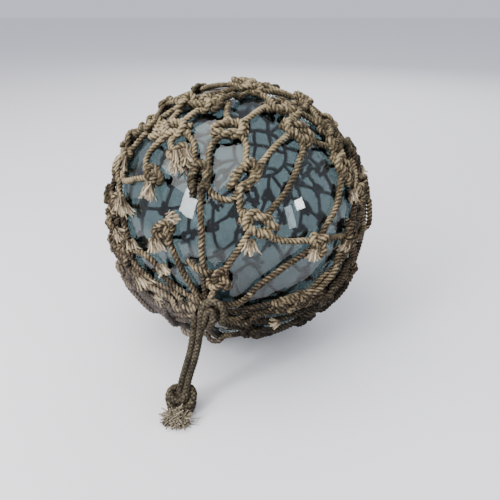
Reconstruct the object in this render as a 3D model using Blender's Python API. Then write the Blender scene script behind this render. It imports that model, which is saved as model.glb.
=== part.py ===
"""A blown glass fishing float in a knotted rope net, with the doubled tail of the gather rope.

Metres, +Z up. The origin is on the surface that the float stands on, straight below the
middle of the glass. The side with the gather and its tail faces -Y. Places on the ball are
(longitude, latitude) in degrees about the middle of the glass: longitude 0 faces -Y and
grows towards +X, latitude 90 is the top.
"""
import math

import bmesh
import bpy
from mathutils import Matrix, Vector

# Driving sizes
GLASS_DIAMETER = 0.305
SEAL_DIAMETER = 0.036  # the button of glass that closed the blowing hole
SEAL_RISE = 0.0025
ROPE_DIAMETER = 0.0062
TAIL_DIAMETER = 0.0066
CLEARANCE = 0.0003
BED = 0.0068  # from the lowest point of the glass down to the surface below
KNOT_LENGTH = 0.024
KNOT_WIDTH = 0.0175
KNOT_HEIGHT = 0.0115
FRAYED_LENGTH = 0.014
GATHER_DIAMETER = 0.036
GATHER_HEIGHT = 0.013
TAIL_KNOT_WIDTH = 0.028
TAIL_KNOT_HEIGHT = 0.023
TAIL_FRAY_LENGTH = 0.024
TAIL_FRAY_DIAMETER = 0.016

# How finely round shapes are cut into facets
GLASS_SIDES = 30
ROPE_STEP_DEG = 13.0
ROPE_BEVEL_RESOLUTION = 1  # gives six sides
HIDDEN_BEVEL_RESOLUTION = 0  # gives four sides
TAIL_KNOT_BEVEL_RESOLUTION = 2  # gives eight sides

GLASS_RADIUS = GLASS_DIAMETER / 2
CENTRE = Vector((0, 0, GLASS_RADIUS + BED))
# A straight stretch between two points of a run dips this much towards the glass.
ROPE_DIP = GLASS_RADIUS * (1 - math.cos(math.radians(ROPE_STEP_DEG / 2)))
ROPE_RADIUS = GLASS_RADIUS + CLEARANCE + ROPE_DIP + ROPE_DIAMETER / 2

# The gather, where the ropes come together, and the crown of the net straight across from it
GATHER = (-12, -13)
CROWN = (168, 13)

# The knots on the side that the gather is on: place, and the heading of the knot in degrees,
# 0 along the ball to the east and 90 up
KNOTS = {
    "eye": (-15, 36, 90),
    "brow": (-28, 43, 150),
    "left_brow": (-41, 53, 20),
    "far_left_brow": (-65, 52, 0),
    "left_cheek": (-38, 33, 100),
    "left_temple": (-70, 31, 80),
    "left_edge": (-57, 17, 95),
    "left_low": (-58, 3, 110),
    "left_inner": (-27, 15, 150),
    "top_middle": (-3, 56, 5),
    "top_left": (-33, 68, 170),
    "top_right": (46, 65, 150),
    "right_brow": (41, 52, 120),
    "middle": (5, 37, 45),
    "mouth": (9, 20, 150),
    "right_mouth": (33, 9, 100),
    "right_low": (52, 6, 70),
    "right_chain_top": (62, 40, 80),
    "right_chain_low": (59, 32, 100),
    "right_upper": (68, 49, 60),
    "right_edge": (82, 33, 90),
    "right_inner": (64, 20, 80),
    "right_edge_low": (84, 15, 95),
    "chin": (28, -14, 10),
    "top": (45, 81, 0),
    "left_skirt": (-62, -15, 120),
    "right_skirt": (62, -16, 60),
    "underside": (0, -90, 0),
    # The float stands on the middle one and on these four round it, all pressed flat
    "under_front": (-8, -80, 0),
    "under_left": (-98, -80, 0),
    "under_right": (82, -80, 0),
    "under_back": (172, -80, 0),
}

# Ropes between those knots, each a list of knots and of places that it passes on the way
ROPES = [
    ["gather", (-11.2, 0), (-12, 18), "eye"],
    ["eye", (-21.5, 47.5), "left_brow"],
    ["eye", (-12.8, 47), "top_middle"],
    ["eye", (-8.5, 30.5), (-2, 28.4), "middle"],
    ["brow", "eye"],
    ["left_brow", "brow"],
    ["left_brow", (-49, 40), "left_cheek"],
    ["left_brow", "far_left_brow"],
    ["left_brow", "top_left"],
    ["far_left_brow", "left_temple"],
    ["left_cheek", (-52, 29.5), "left_temple"],
    ["left_temple", "left_edge"],
    ["left_edge", "left_low"],
    ["left_inner", (-21, 1), "gather"],
    ["left_inner", "left_low"],
    ["left_low", (-34, 2), "gather"],
    ["left_low", (-40, -13), "gather"],
    ["left_low", "left_skirt"],
    ["left_skirt", (-40, -24), "gather"],
    ["top_middle", (5.6, 50), "middle"],
    ["top_middle", (17, 65), "top_right"],
    ["top_middle", (-8, 72)],
    ["top_left", (-8, 72), "top"],
    ["middle", "mouth"],
    ["right_brow", (21.5, 47), "middle"],
    ["right_brow", (27, 35), "mouth"],
    ["right_brow", "top_right"],
    ["right_brow", "right_chain_top"],
    ["right_chain_top", "right_chain_low"],
    ["right_chain_low", (46.5, 21.5), "right_mouth"],
    ["top_right", "right_upper"],
    ["top_right", "top"],
    ["right_upper", "right_chain_top"],
    ["right_upper", "right_edge"],
    ["right_chain_low", "right_inner"],
    ["right_edge", "right_inner"],
    ["right_edge", "right_edge_low"],
    ["right_inner", "right_low"],
    ["right_edge_low", "right_low"],
    ["mouth", "gather"],
    ["mouth", "right_mouth"],
    ["right_mouth", "right_low"],
    ["gather", (16, 1), "right_mouth"],
    ["right_low", "chin"],
    ["chin", "gather"],
    ["right_low", "right_skirt"],
    ["right_skirt", (30, -22), "gather"],
    ["gather", "under_front"],
    ["left_skirt", (-68, -52), "under_left"],
    ["right_skirt", (62, -52), "under_right"],
    ["under_front", "underside"],
    ["under_left", "underside"],
    ["under_right", "underside"],
    ["under_back", "underside"],
]

# Cut ends that stand out of knots, each with the knot it leaves and the way it points
FRAYED_ENDS = [
    ("brow", -40), ("left_brow", -100), ("left_cheek", -70), ("left_temple", 200),
    ("left_edge", -20), ("left_low", 150), ("left_inner", -30), ("top_right", 10),
    ("mouth", -100), ("right_mouth", -110), ("right_inner", -60),
]

# The rest of the net: rings of knots about the line from gather to crown
SPOKES = 8
RING_POLARS = [60, 88, 114, 140]
CROWN_RING_POLAR = 165
LEAST_APART_DEG = 19
HIDDEN_FROM = (2, 24)  # the side that the hand-placed knots cover faces this way
HIDDEN_BEYOND_DEG = 74

# The middle line of the tail, from the gather to the end knot, in metres. Its two strands lie
# either side of it, and the left one comes out from behind the right one lower down.
TAIL_MIDDLE = [
    (-0.0373, -0.1655, 0.1254),
    (-0.0391, -0.1662, 0.1070),
    (-0.0423, -0.1676, 0.0852),
    (-0.0465, -0.1690, 0.0672),
    (-0.0523, -0.1710, 0.0481),
    (-0.0578, -0.1735, 0.0275),
]
TAIL_RIGHT_HAND = Vector((0.969, -0.248, 0))
LEFT_STRAND_BEHIND = 0.019
# The gather rope's way out of the gather, over in an arch to the right strand, and the short
# way round to the left one
RIGHT_LEAD = [
    (-0.0230, -0.1535, 0.1130),
    (-0.0130, -0.1585, 0.1150),
    (-0.0123, -0.1625, 0.1240),
    (-0.0169, -0.1655, 0.1336),
    (-0.0236, -0.1670, 0.1380),
    (-0.0300, -0.1670, 0.1358),
]
LEFT_LEAD = [(-0.0400, -0.1530, 0.1150), (-0.0445, -0.1585, 0.1190)]
TAIL_KNOT_PLACE = (-0.0590, -0.1765)
TAIL_FRAY_HEADING = -102  # the way the frayed end lies on the surface, from +X


def direction(lon, lat):
    """The unit vector from the middle of the glass towards a place."""
    lon, lat = math.radians(lon), math.radians(lat)
    return Vector((math.sin(lon) * math.cos(lat), -math.cos(lon) * math.cos(lat), math.sin(lat)))


def from_gather(polar, azimuth):
    """The unit vector that far round from the gather, azimuth 0 going up."""
    axis = direction(*GATHER)
    up = (Vector((0, 0, 1)) - axis * axis.z).normalized()
    side = up.cross(axis)
    polar, azimuth = math.radians(polar), math.radians(azimuth)
    across = up * math.cos(azimuth) + side * math.sin(azimuth)
    return axis * math.cos(polar) + across * math.sin(polar)


def heading_at(place, turn):
    """The unit vector along the ball at a place, turned from east towards up."""
    east = Vector((0, 0, 1)).cross(place)
    east = Vector((1, 0, 0)) if east.length < 1e-3 else east.normalized()
    turn = math.radians(turn)
    return east * math.cos(turn) + place.cross(east) * math.sin(turn)


def apart_deg(a, b):
    return math.degrees(a.angle(b))


def material(name, colour, roughness, transmission=0.0):
    made = bpy.data.materials.new(name)
    made.use_nodes = True
    shader = made.node_tree.nodes["Principled BSDF"]
    shader.inputs["Base Color"].default_value = (*colour, 1)
    shader.inputs["Roughness"].default_value = roughness
    shader.inputs["Metallic"].default_value = 0
    shader.inputs["Transmission Weight"].default_value = transmission
    made.diffuse_color = (*colour, 1)
    return made


def mesh_of(shape, name):
    """Turns a finished bmesh into a mesh whose points are merged and whose faces look out."""
    bmesh.ops.remove_doubles(shape, verts=shape.verts, dist=1e-6)
    bmesh.ops.recalc_face_normals(shape, faces=shape.faces)
    mesh = bpy.data.meshes.new(name)
    shape.to_mesh(mesh)
    shape.free()
    return mesh


def keep(name, mesh, finish, parent):
    """Adds a finished mesh to the scene under the float's empty, shaded smooth."""
    item = bpy.data.objects.new(name, mesh)
    bpy.context.scene.collection.objects.link(item)
    mesh.materials.clear()
    mesh.materials.append(finish)
    mesh.shade_smooth()
    mesh.set_sharp_from_angle(angle=math.radians(50))
    item.parent = parent
    return item


def rope_curve(name, route, diameter, bevel_resolution):
    curve = bpy.data.curves.new(name, "CURVE")
    curve.dimensions = "3D"
    curve.bevel_depth = diameter / 2
    curve.bevel_resolution = bevel_resolution
    curve.use_fill_caps = True
    spline = curve.splines.new("POLY")
    spline.points.add(len(route) - 1)
    for point, place in zip(spline.points, route):
        point.co = (*place, 1)
    return curve


def tube(route, diameter, bevel_resolution=ROPE_BEVEL_RESOLUTION):
    """A closed tube along a route, as a mesh."""
    curve = rope_curve("tube", route, diameter, bevel_resolution)
    guide = bpy.data.objects.new("tube", curve)
    shape = bmesh.new()
    shape.from_mesh(guide.to_mesh())
    bpy.data.objects.remove(guide)
    bpy.data.curves.remove(curve)
    return mesh_of(shape, "tube")


def combined(item, name, meshes, operation="UNION"):
    """Unites an object with closed meshes, or cuts them from it, and leaves one closed body."""
    group = bpy.data.collections.new(name)
    bpy.context.scene.collection.children.link(group)
    for index, mesh in enumerate(meshes):
        tool = bpy.data.objects.new(f"{name}_{index}", mesh)
        tool.hide_render = True
        tool.display_type = "WIRE"
        group.objects.link(tool)
    change = item.modifiers.new(name, "BOOLEAN")
    change.operation = operation
    change.solver = "EXACT"
    change.operand_type = "COLLECTION"
    change.collection = group


def lump(place, outward, ahead, size, subdivisions=1):
    """A rounded lump with its length ahead and its height outward, as a mesh."""
    turn = Matrix((ahead, outward.cross(ahead), outward)).transposed().to_4x4()
    matrix = Matrix.Translation(place) @ turn @ Matrix.Diagonal((*[side / 2 for side in size], 1))
    shape = bmesh.new()
    bmesh.ops.create_icosphere(shape, subdivisions=subdivisions, radius=1, matrix=matrix)
    return mesh_of(shape, "lump")


def stub(start, ahead, outward, length, diameters, sides):
    """A short end of rope lying ahead, as a mesh, wider at one end."""
    turn = Matrix((outward, ahead.cross(outward), ahead)).transposed().to_4x4()
    matrix = Matrix.Translation(start + ahead * length / 2) @ turn
    shape = bmesh.new()
    bmesh.ops.create_cone(
        shape, cap_ends=True, segments=sides, radius1=diameters[0] / 2,
        radius2=diameters[1] / 2, depth=length, matrix=matrix,
    )
    return mesh_of(shape, "stub")


def glass_mesh():
    """The ball, turned about the line from gather to crown, with its seal at the crown."""
    seal_radius = SEAL_DIAMETER / 2
    seal_polar = math.asin(seal_radius / GLASS_RADIUS)
    foot_polar = seal_polar * 1.12
    # Distance along the axis from the middle, and from the axis, from the seal to the gather
    profile = [
        (GLASS_RADIUS + SEAL_RISE, 0),
        (GLASS_RADIUS + SEAL_RISE * 0.7, seal_radius * 0.75),
        (GLASS_RADIUS * math.cos(seal_polar) + SEAL_RISE * 0.5, seal_radius),
    ]
    steps = GLASS_SIDES // 2
    for step in range(steps + 1):
        polar = foot_polar + (math.pi - foot_polar) * step / steps
        profile.append((GLASS_RADIUS * math.cos(polar), GLASS_RADIUS * math.sin(polar)))
    axis = direction(*CROWN)
    side = axis.orthogonal().normalized()
    shape = bmesh.new()
    points = [shape.verts.new(CENTRE + axis * far + side * out) for far, out in profile]
    edges = [shape.edges.new(pair) for pair in zip(points, points[1:])]
    bmesh.ops.spin(
        shape, geom=points + edges, cent=CENTRE, axis=axis, angle=2 * math.pi,
        steps=GLASS_SIDES, use_merge=False,
    )
    return mesh_of(shape, "glass_ball")


def hidden_net(placed):
    """The knots of the rings that the hand-placed side leaves free, as (ring, spoke): direction."""
    view = direction(*HIDDEN_FROM)
    found = {}
    for ring, polar in enumerate(RING_POLARS):
        for spoke in range(SPOKES):
            place = from_gather(polar, (spoke + 0.5 * (ring % 2)) * 360 / SPOKES)
            free = min(apart_deg(place, other) for other in placed) > LEAST_APART_DEG
            if free and apart_deg(place, view) > HIDDEN_BEYOND_DEG:
                found[ring, spoke] = place
    return found


def hidden_ropes(found, placed):
    """Pairs of places: each hidden knot to the two below it, or to the nearest placed ones."""
    pairs = []
    last = len(RING_POLARS) - 1
    for (ring, spoke), place in found.items():
        near = sorted(placed, key=lambda other: apart_deg(other, place))
        for step in (0, 1):
            beside = (spoke + step - 1 + ring % 2) % SPOKES
            pairs.append((found.get((ring - 1, beside), near[step]), place))
            if ring == last:
                azimuth = (spoke + 0.5 * (ring % 2) + (step - 0.5) * 0.4) * 360 / SPOKES
                pairs.append((place, from_gather(CROWN_RING_POLAR, azimuth)))
            elif (ring + 1, beside) not in found and (near[0], place) not in pairs:
                pairs.append((near[0], place))
    return pairs


def run_over(stops, ends):
    """The points of a rope over the ball, kept short of its end knots by their half widths."""
    route = []
    for start, end in zip(stops, stops[1:]):
        steps = max(1, math.ceil(apart_deg(start, end) / ROPE_STEP_DEG - 0.1))
        route += [start.slerp(end, i / steps) for i in range(steps)]
    route = [CENTRE + place * ROPE_RADIUS for place in (*route, stops[-1])]
    for tip, beside, kept in ((0, 1, ends[0]), (-1, -2, ends[1])):
        toward = route[beside] - route[tip]
        route[tip] = route[tip] + toward.normalized() * min(kept, toward.length * 0.6)
    return route


def smooth_route(points, step):
    """Points a step apart on the smooth curve through the route's own points."""
    places = [Vector(point) for point in points]
    places = [places[0] * 2 - places[1], *places, places[-1] * 2 - places[-2]]
    fine = []
    for a, b, c, d in zip(places, places[1:], places[2:], places[3:]):
        for i in range(16):
            t = i / 16
            bend = (2 * a - 5 * b + 4 * c - d) * t**2 + (3 * b - a - 3 * c + d) * t**3
            fine.append(0.5 * (2 * b + (c - a) * t + bend))
    fine.append(places[-2])
    total = sum((b - a).length for a, b in zip(fine, fine[1:]))
    count = max(2, round(total / step))
    route, gone = [fine[0]], 0.0
    for a, b in zip(fine, fine[1:]):
        gone += (b - a).length
        if gone >= total * len(route) / count and len(route) < count:
            route.append(b)
    return [*route, fine[-1]]


def tail_routes():
    """The routes of the two strands, side by side along the tail's middle line."""
    middle = smooth_route(TAIL_MIDDLE, TAIL_DIAMETER)
    apart = TAIL_DIAMETER + CLEARANCE
    left, right = [], []
    for before, place, after in zip([middle[0], *middle], middle, [*middle[1:], middle[-1]]):
        along = (after - before).normalized()
        side = (TAIL_RIGHT_HAND - along * TAIL_RIGHT_HAND.dot(along)).normalized() * apart / 2
        left.append(place - side)
        right.append(place + side)
    hidden = round(LEFT_STRAND_BEHIND / TAIL_DIAMETER)
    return {"tail_strand_left": left[hidden:], "tail_strand_right": right}


def rope_net(finish, parent):
    """The net as one body: its ropes, its knots, the gather and the frayed ends."""
    knots = {name: (direction(lon, lat), turn) for name, (lon, lat, turn) in KNOTS.items()}
    gather = direction(*GATHER)
    placed = [place for place, _ in knots.values()] + [gather]
    inside = KNOT_WIDTH * 0.3
    routes = []
    for rope in ROPES:
        stops, ends = [], []
        for stop in rope:
            named = isinstance(stop, str) and stop != "gather"
            stops.append(knots[stop][0] if named else gather if stop == "gather" else direction(*stop))
            ends.append(inside if named else GATHER_DIAMETER * 0.25 if stop == "gather" else 0)
        routes.append(run_over(stops, (ends[0], ends[-1])))
    crown = [CENTRE + from_gather(CROWN_RING_POLAR, 360 * i / 12) * ROPE_RADIUS for i in range(13)]
    crown[-1] = crown[0].lerp(crown[1], 0.3)
    pieces = [tube(crown, ROPE_DIAMETER, HIDDEN_BEVEL_RESOLUTION)]
    pieces += [tube(route, ROPE_DIAMETER) for route in routes[1:]]
    found = hidden_net(placed)
    for start, end in hidden_ropes(found, placed):
        on_knot = end in found.values()
        route = run_over([start, end], (inside, inside if on_knot else 0))
        pieces.append(tube(route, ROPE_DIAMETER, HIDDEN_BEVEL_RESOLUTION))
    for index, place in enumerate(found.values()):
        knots[f"hidden_{index}"] = (place, 60 * (index % 3))
    bed = GLASS_RADIUS + CLEARANCE
    for place, turn in knots.values():
        size = (KNOT_LENGTH, KNOT_WIDTH, KNOT_HEIGHT)
        middle = CENTRE + place * (bed + KNOT_HEIGHT / 2)
        pieces.append(lump(middle, place, heading_at(place, turn), size))
    size = (GATHER_DIAMETER, GATHER_DIAMETER * 0.85, GATHER_HEIGHT)
    middle = CENTRE + gather * (bed + GATHER_HEIGHT / 2)
    pieces.append(lump(middle, gather, heading_at(gather, 90), size, subdivisions=2))
    for lead, strand in zip((LEFT_LEAD, RIGHT_LEAD), tail_routes().values()):
        back = (strand[0] - strand[1]).normalized()
        near = [strand[0] + back * (CLEARANCE + TAIL_DIAMETER), strand[0] + back * CLEARANCE]
        pieces.append(tube([Vector(point) for point in lead] + near, TAIL_DIAMETER))
    for name, turn in FRAYED_ENDS:
        place = knots[name][0]
        ahead = heading_at(place, turn)
        start = CENTRE + place * (bed + KNOT_HEIGHT / 2) + ahead * KNOT_WIDTH * 0.25
        diameters = (ROPE_DIAMETER, ROPE_DIAMETER * 1.4)
        pieces.append(stub(start, ahead, place, FRAYED_LENGTH, diameters, 6))
    net = keep("rope_net", tube(routes[0], ROPE_DIAMETER), finish, parent)
    combined(net, "net_pieces", pieces)
    below = bmesh.new()
    size = GLASS_DIAMETER
    bmesh.ops.create_cube(below, size=size, matrix=Matrix.Translation((0, 0, -size / 2)))
    combined(net, "below_the_bed", [mesh_of(below, "bed")], "DIFFERENCE")


def tail_strands(finish, parent):
    """The two strands of the tail, each a free cord."""
    for name, route in tail_routes().items():
        curve = rope_curve(name, route, TAIL_DIAMETER, ROPE_BEVEL_RESOLUTION)
        curve.materials.append(finish)
        strand = bpy.data.objects.new(name, curve)
        bpy.context.scene.collection.objects.link(strand)
        strand.parent = parent


def tail_knot(finish, parent):
    """The overhand knot in both strands, resting on the surface, with its frayed end."""
    middle = Vector((*TAIL_KNOT_PLACE, TAIL_KNOT_HEIGHT / 2))
    heading = math.radians(TAIL_FRAY_HEADING)
    ahead = Vector((math.cos(heading), math.sin(heading), 0))
    up = Vector((0, 0, 1))
    side = up.cross(ahead)
    size = (TAIL_KNOT_WIDTH * 0.8, TAIL_KNOT_WIDTH * 0.86, TAIL_KNOT_HEIGHT * 0.86)
    body = lump(middle, up, ahead, size, subdivisions=2)
    # The wrap goes round the body, leaning back from the frayed end
    lean = (up - ahead * 0.4).normalized()
    wrap = []
    for step in range(14):
        turn = 2 * math.pi * step / 12.5
        across = side * math.cos(turn) * (TAIL_KNOT_WIDTH - TAIL_DIAMETER) / 2
        wrap.append(middle + across + lean * math.sin(turn) * (TAIL_KNOT_HEIGHT - TAIL_DIAMETER) / 2)
    start = middle + ahead * TAIL_KNOT_WIDTH * 0.2
    start.z = TAIL_FRAY_DIAMETER / 2
    diameters = (TAIL_FRAY_DIAMETER * 0.75, TAIL_FRAY_DIAMETER)
    fray = stub(start, ahead, up, TAIL_FRAY_LENGTH + TAIL_KNOT_WIDTH * 0.2, diameters, 10)
    knot = keep("tail_knot", body, finish, parent)
    combined(knot, "tail_knot_pieces", [tube(wrap, TAIL_DIAMETER, TAIL_KNOT_BEVEL_RESOLUTION), fray])


def build():
    for item in list(bpy.data.objects):
        bpy.data.objects.remove(item)
    glass = material("sea glass", (0.28, 0.45, 0.48), 0.06, 0.9)
    rope = material("weathered rope", (0.23, 0.17, 0.10), 0.95)
    tail = material("tail rope", (0.15, 0.12, 0.07), 0.95)
    ball = bpy.data.objects.new("float", None)
    bpy.context.scene.collection.objects.link(ball)
    keep("glass_ball", glass_mesh(), glass, ball)
    rope_net(rope, ball)
    tail_strands(tail, ball)
    tail_knot(tail, ball)


build()
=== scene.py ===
import math
import random

import bpy
import numpy as np
from mathutils import Matrix, Vector, noise


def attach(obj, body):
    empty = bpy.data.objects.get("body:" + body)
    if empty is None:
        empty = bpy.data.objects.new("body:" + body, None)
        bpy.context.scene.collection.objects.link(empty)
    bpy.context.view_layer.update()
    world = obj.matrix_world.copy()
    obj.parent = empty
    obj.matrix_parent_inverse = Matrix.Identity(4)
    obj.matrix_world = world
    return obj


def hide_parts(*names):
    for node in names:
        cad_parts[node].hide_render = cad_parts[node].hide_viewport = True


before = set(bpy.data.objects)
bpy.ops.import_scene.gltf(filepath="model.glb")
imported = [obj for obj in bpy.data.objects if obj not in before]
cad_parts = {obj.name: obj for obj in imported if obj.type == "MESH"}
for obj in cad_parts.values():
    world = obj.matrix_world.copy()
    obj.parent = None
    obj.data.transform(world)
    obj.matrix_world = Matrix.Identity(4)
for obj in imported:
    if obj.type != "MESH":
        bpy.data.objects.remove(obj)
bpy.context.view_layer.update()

# Camera. It stands just over half a metre in front of the float, a little higher than its
# top, and looks down on it, so that the horizon is above the upper edge of the picture.
EYE = Vector((0.0152, -0.5798, 0.4210))
PICTURE_PX = 500
FOCAL_LENGTH_PX = 500
HORIZON_ABOVE_MIDDLE_PX = 272
LOOK_DOWN = math.atan(HORIZON_ABOVE_MIDDLE_PX / FOCAL_LENGTH_PX)
view_camera = bpy.data.cameras.new("camera")
view_camera.sensor_width = 36
view_camera.lens = view_camera.sensor_width * FOCAL_LENGTH_PX / PICTURE_PX
camera = bpy.data.objects.new("camera", view_camera)
camera.location = EYE
camera.rotation_euler = (math.pi / 2 - LOOK_DOWN, 0, 0)
bpy.context.scene.collection.objects.link(camera)
bpy.context.scene.camera = camera


# Tail strands. The gather rope comes down off the ball as two strands side by side, each
# plaited from eight yarns of dark tarred fibre, and both go into one knot on the floor.
TAIL_DIAMETER = 0.0078
TAIL_ROUTES = {
    "tail_strand_left": [
        (-0.0427, -0.1655, 0.1048), (-0.0437, -0.1659, 0.0979), (-0.0445, -0.1662, 0.0923),
        (-0.0456, -0.1667, 0.0858), (-0.0470, -0.1672, 0.0789), (-0.0485, -0.1677, 0.0724),
        (-0.0504, -0.1683, 0.0657), (-0.0521, -0.1688, 0.0599), (-0.0540, -0.1695, 0.0539),
        (-0.0562, -0.1703, 0.0464), (-0.0580, -0.1711, 0.0399), (-0.0597, -0.1719, 0.0334),
        (-0.0610, -0.1725, 0.0282),
    ],
    "tail_strand_right": [
        (-0.0340, -0.1664, 0.1251), (-0.0346, -0.1666, 0.1184), (-0.0352, -0.1668, 0.1115),
        (-0.0361, -0.1672, 0.1040), (-0.0370, -0.1677, 0.0971), (-0.0379, -0.1680, 0.0914),
        (-0.0390, -0.1685, 0.0846), (-0.0405, -0.1690, 0.0776), (-0.0421, -0.1695, 0.0709),
        (-0.0439, -0.1702, 0.0640), (-0.0458, -0.1708, 0.0581), (-0.0476, -0.1714, 0.0521),
        (-0.0498, -0.1723, 0.0448), (-0.0515, -0.1730, 0.0385), (-0.0532, -0.1738, 0.0320),
        (-0.0546, -0.1745, 0.0268),
    ],
}
POINTS_BETWEEN = 24


def smooth_path(points, step):
    """Points a step apart on the smooth curve through a few points, as an array."""
    p = np.array(points, float)
    p = np.vstack([2 * p[0] - p[1], p, 2 * p[-1] - p[-2]])
    t = np.linspace(0, 1, POINTS_BETWEEN, endpoint=False)[:, None]
    fine = []
    for a, b, c, d in zip(p, p[1:], p[2:], p[3:]):
        bend = (2 * a - 5 * b + 4 * c - d) * t**2 + (3 * b - a - 3 * c + d) * t**3
        fine.append(0.5 * (2 * b + (c - a) * t + bend))
    fine = np.vstack([*fine, p[-2:-1]])
    gone = np.concatenate([[0], np.cumsum(np.linalg.norm(np.diff(fine, axis=0), axis=1))])
    count = max(3, round(gone[-1] / step))
    wanted = np.linspace(0, gone[-1], count + 1)
    return np.stack([np.interp(wanted, gone, fine[:, k]) for k in range(3)], axis=1)


def frames_along(path, outward):
    """Two directions across a path at each of its points, carried along without twisting."""
    tangent = np.gradient(path, axis=0)
    tangent /= np.linalg.norm(tangent, axis=1)[:, None]
    side = np.zeros_like(path)
    last = np.array(outward, float)
    for i, t in enumerate(tangent):
        last = last - t * (last @ t)
        last /= np.linalg.norm(last)
        side[i] = last
    return side, np.cross(tangent, side)


LAID_STRAND_OUT = 0.46
LAID_STRAND_RADIUS = 0.54


def laid_profile(turn, along, lay):
    """The outline of three strands twisted together, as a share of the rope's radius."""
    angle = (turn - 2 * np.pi * along / lay) % (2 * np.pi / 3) - np.pi / 3
    aside = LAID_STRAND_OUT * np.sin(angle)
    return LAID_STRAND_OUT * np.cos(angle) + np.sqrt(LAID_STRAND_RADIUS**2 - aside**2)


PLAIT_STRANDS_EACH_WAY = 4
PLAIT_DEPTH = 0.20


def plaited_profile(turn, along, lay):
    """The outline of a round plait: four strands wind each way and pass over and under."""
    one = PLAIT_STRANDS_EACH_WAY * turn / (2 * np.pi) + along / lay
    other = PLAIT_STRANDS_EACH_WAY * turn / (2 * np.pi) - along / lay
    over = (np.floor(one) + np.floor(other)) % 2 < 1
    one, other = np.sin(np.pi * (one % 1)), np.sin(np.pi * (other % 1))
    across, length = np.where(over, one, other), np.where(over, other, one)
    return 1 - PLAIT_DEPTH + PLAIT_DEPTH * across**0.6 * length**0.25


PRESSED_FLAT = 0.0002  # rope that lies on the floor is flat this far above it


def made_piece(name, points, faces, values, material):
    """The finished object of some gathered points and faces, with the values on its points."""
    mesh = bpy.data.meshes.new(name)
    points = np.vstack(points)
    points[:, 2] = np.maximum(points[:, 2], PRESSED_FLAT)
    mesh.from_pydata(points.tolist(), [], faces)
    for label, rows in values.items():
        layer = mesh.attributes.new(label, "FLOAT", "POINT")
        layer.data.foreach_set("value", np.concatenate(rows).astype(np.float32))
    mesh.materials.append(material)
    mesh.shade_smooth()
    item = bpy.data.objects.new(name, mesh)
    bpy.context.scene.collection.objects.link(item)
    return item


# Painted light and shade: the side of each rope that faces the lamp above, left and in front is
# painted paler, and the side turned away darker.
LIT_SIDE = np.array([-0.36, -0.42, 0.83])
PAINTED_LIGHT_ON_LIT_SIDE = 0.45
AGE_DARKENS = 0.27
CUT_END_CREST = 0.3


class RopeMesh:
    """Gathers rope tubes into one mesh with what their material reads."""

    def __init__(self):
        self.points, self.faces, self.line, self.crest, self.tone = [], [], [], [], []
        self.count = 0

    def add(self, path, diameter, lay, sides, profile=laid_profile, outward=(0, 0, 1),
            tone=0.5, swell=None, phase=0.0):
        """A tube along a path with the profile's outline, closed at both ends."""
        side, across = frames_along(path, outward)
        gone = np.concatenate([[0], np.cumsum(np.linalg.norm(np.diff(path, axis=0), axis=1))])
        turn = np.linspace(0, 2 * np.pi, sides, endpoint=False)
        share = profile(turn[None, :] + phase, gone[:, None], lay)
        radius = share * diameter / 2
        if swell is not None:
            radius = radius * swell[:, None]
        ring = (side[:, None, :] * np.cos(turn)[None, :, None]
                + across[:, None, :] * np.sin(turn)[None, :, None])
        grid = path[:, None, :] + ring * radius[:, :, None]
        rows, start = len(path), self.count
        self.points += [grid.reshape(-1, 3), path[:1], path[-1:]]
        base = start + np.arange(rows - 1)[:, None] * sides
        k = np.arange(sides)[None, :]
        n = (np.arange(sides)[None, :] + 1) % sides
        quads = np.stack([base + k, base + n, base + sides + n, base + sides + k], axis=-1)
        self.faces += quads.reshape(-1, 4).tolist()
        first, last = start + rows * sides, start + rows * sides + 1
        end = start + (rows - 1) * sides
        for i in range(sides):
            j = (i + 1) % sides
            self.faces.append([first, start + j, start + i])
            self.faces.append([last, end + i, end + j])
        low = share.min()
        lifted = ((share - low) / max(1e-6, share.max() - low)).reshape(-1)
        self.crest += [lifted, [CUT_END_CREST, CUT_END_CREST]]
        round_way = [np.tile(np.cos(turn) / 2, rows), np.tile(np.sin(turn) / 2, rows)]
        self.line += [np.stack([np.repeat(gone, sides), *round_way], axis=1),
                      [[gone[0], 0, 0], [gone[-1], 0, 0]]]
        # Painted light and shade in the tone: paler where the rope faces the lamp, darker where it
        # turns away.
        tone_with_painted_light = tone + PAINTED_LIGHT_ON_LIT_SIDE * (ring @ LIT_SIDE).reshape(-1) - AGE_DARKENS
        self.tone += [tone_with_painted_light, [tone, tone]]
        self.count = last + 1

    def made(self, name, material):
        values = {"crest": self.crest, "tone": self.tone}
        item = made_piece(name, self.points, self.faces, values, material)
        line = item.data.attributes.new("line", "FLOAT_VECTOR", "POINT")
        line.data.foreach_set("vector", np.vstack(self.line).astype(np.float32).reshape(-1))
        return item


class Wire:
    """A shader socket that takes part in sums, so that shader maths reads as a formula."""

    def __init__(self, tree, socket):
        self.tree, self.socket = tree, socket

    def math(self, kind, *values, clamp=False):
        step = self.tree.nodes.new("ShaderNodeMath")
        step.operation = kind
        step.use_clamp = clamp
        for slot, value in zip(step.inputs, (self, *values)):
            feed(self.tree, slot, value)
        return Wire(self.tree, step.outputs[0])

    def __add__(self, other):
        return self.math("ADD", other)

    __radd__ = __add__

    def __mul__(self, other):
        return self.math("MULTIPLY", other)

    __rmul__ = __mul__

    def __sub__(self, other):
        return self.math("SUBTRACT", other)

    def __rsub__(self, other):
        return self.math("MULTIPLY", -1).math("ADD", other)

    def __pow__(self, other):
        return self.math("POWER", other)

    def clamped(self):
        return self.math("ADD", 0.0, clamp=True)


def feed(tree, slot, value):
    """Links a socket to a wire, or sets it to a plain value."""
    if isinstance(value, Wire):
        tree.links.new(value.socket, slot)
    else:
        slot.default_value = value


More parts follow.
